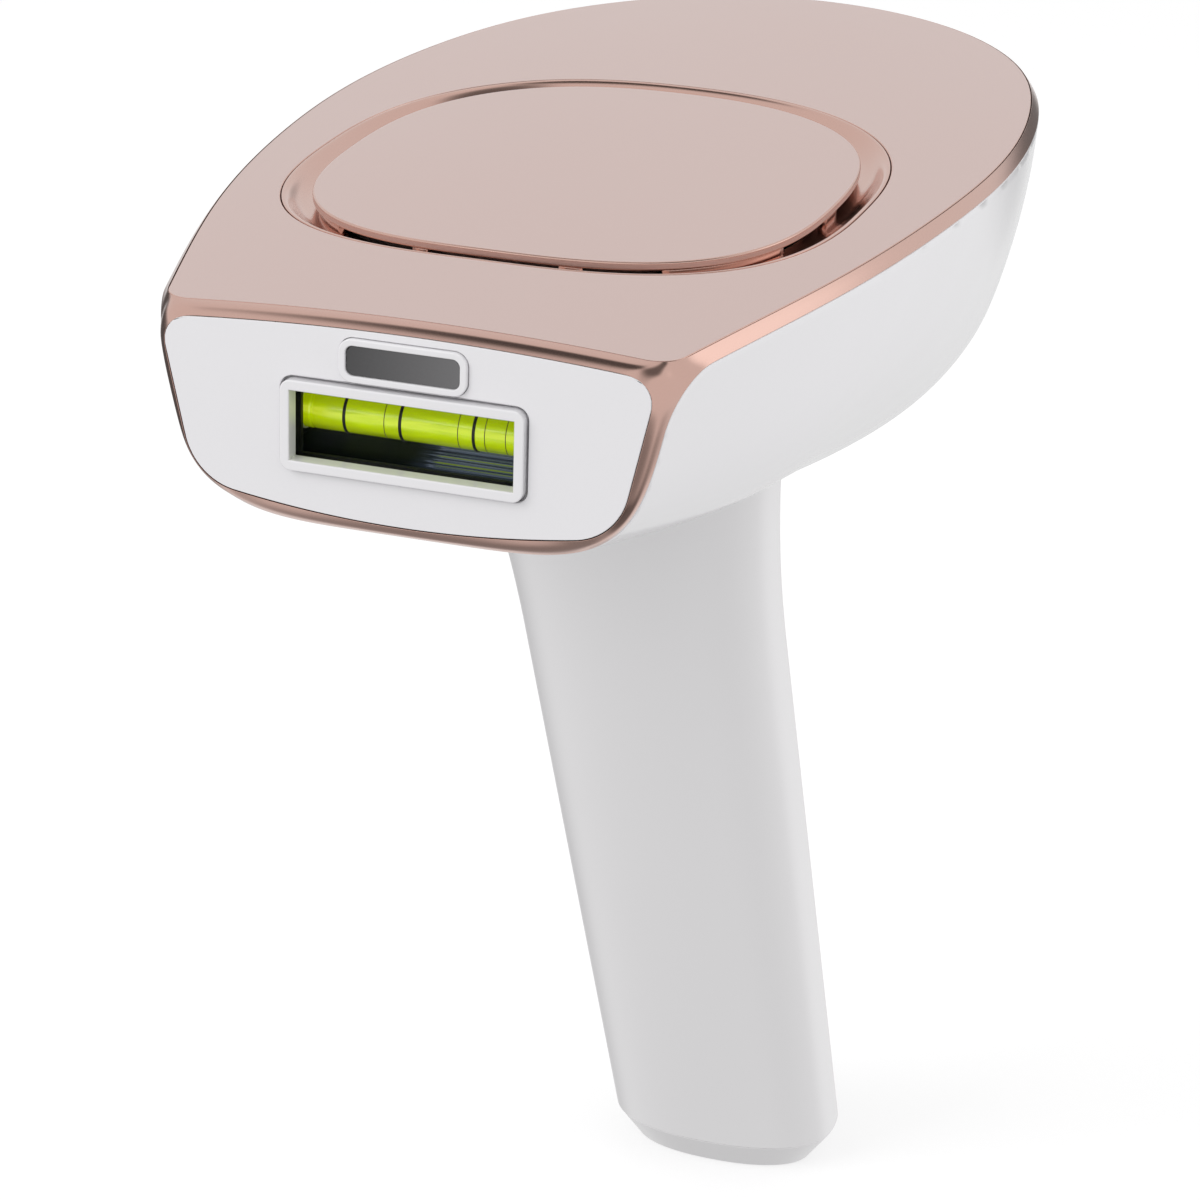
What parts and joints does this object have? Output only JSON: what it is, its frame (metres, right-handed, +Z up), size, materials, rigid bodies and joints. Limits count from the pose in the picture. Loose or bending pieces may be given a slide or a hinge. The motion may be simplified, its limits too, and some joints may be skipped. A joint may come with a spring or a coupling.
{
  "type": "ipl hair remover",
  "caption": "Gun-shaped light-pulse hair remover: rose-gold topped white head with a treatment window, skin sensor and vent ring, on a leaning grip.",
  "frame": {"origin": "centre of the flat end of the grip, in the plane of that end", "axes": "+Z up from the grip's end to the head, -Y the way the treatment window looks, +X to the right seen from the window side; the outer form is symmetric about X = 0"},
  "size_m": [0.1022, 0.183, 0.1951],
  "materials": {
    "rose_satin": "satin metallic rose-gold coating on plastic",
    "rose_bright": "bright metallised rose-gold plastic",
    "white_gloss": "smooth white, soft gloss",
    "white_satin": "white, satin gloss",
    "dark_glass": "dark tinted sensor window",
    "clear_glass": "clear quartz and filter glass",
    "tinted_glass": "yellow-green filter sleeve",
    "light_guide": "frosted light guide",
    "steel": "plain steel",
    "black_plastic": "black moulded plastic",
    "ceramic_white": "unglazed ceramic",
    "mirror_finish": "polished aluminium",
    "frame_plastic": "glass-filled grey plastic",
    "circuit_board": "solder-masked board",
    "copper_core": "wound copper on a dark core",
    "filter_mat": "open filter mat",
    "capacitor_can": "sleeved aluminium can"
  },
  "bodies": {
    "main_body": {"top_plate": "rose_satin", "vent_panel": "rose_satin", "trim_frame": "rose_bright", "vent_ring": "rose_bright", "head_shell": "white_gloss", "front_plate": "white_gloss", "sensor_bezel": "white_gloss", "grip_sleeve": "white_satin", "end_cap": "white_satin", "pulse_bezel": "rose_bright", "sensor_lens": "dark_glass", "window_pane": "clear_glass", "filter_tube": "tinted_glass", "flash_lamp": "clear_glass", "indicator_lights": "light_guide", "lamp_electrodes": "steel", "lamp_bands": "black_plastic", "lamp_caps": "ceramic_white", "reflector": "mirror_finish", "pane_holder": "black_plastic", "lamp_housing": "black_plastic", "contact_springs": "steel", "contact_switches": "black_plastic", "head_chassis": "frame_plastic", "grip_frame": "frame_plastic", "sensor_board": "circuit_board", "main_board": "circuit_board", "indicator_board": "circuit_board", "board_chips": "black_plastic", "charging_transformer": "copper_core", "trigger_coil": "copper_core", "fan_housing": "black_plastic", "air_duct": "frame_plastic", "fan_screws": "steel", "cap_screws": "steel", "level_switch": "black_plastic", "pulse_switch": "black_plastic", "air_filter": "filter_mat", "power_jack": "black_plastic", "jack_pin": "steel", "flash_capacitor": "capacitor_can"},
    "contact_frame": {"contact_frame": "white_gloss"},
    "pulse_button": {"pulse_button": "white_satin"},
    "level_button": {"level_button": "rose_bright"},
    "fan_rotor": {"fan_rotor": "black_plastic"}
  },
  "joints": [
    {"name": "contact_press", "type": "slide", "parent": "main_body", "child": "contact_frame", "axis": [0, 1, 0], "range_m": [0, 0.0008], "stiffness_N_per_m": 400, "springref_m": -0.001},
    {"name": "pulse_press", "type": "slide", "parent": "main_body", "child": "pulse_button", "axis": [0, -0.9078, -0.4194], "range_m": [0, 0.001], "stiffness_N_per_m": 600, "springref_m": -0.001},
    {"name": "level_press", "type": "slide", "parent": "main_body", "child": "level_button", "axis": [0, -0.5522, 0.8337], "range_m": [0, 0.0008], "stiffness_N_per_m": 600, "springref_m": -0.001},
    {"name": "fan_spin", "type": "hinge", "parent": "main_body", "child": "fan_rotor", "pos_m": [0, -0.084, 0.178], "axis": [0, 0, 1], "continuous": true}
  ]
}
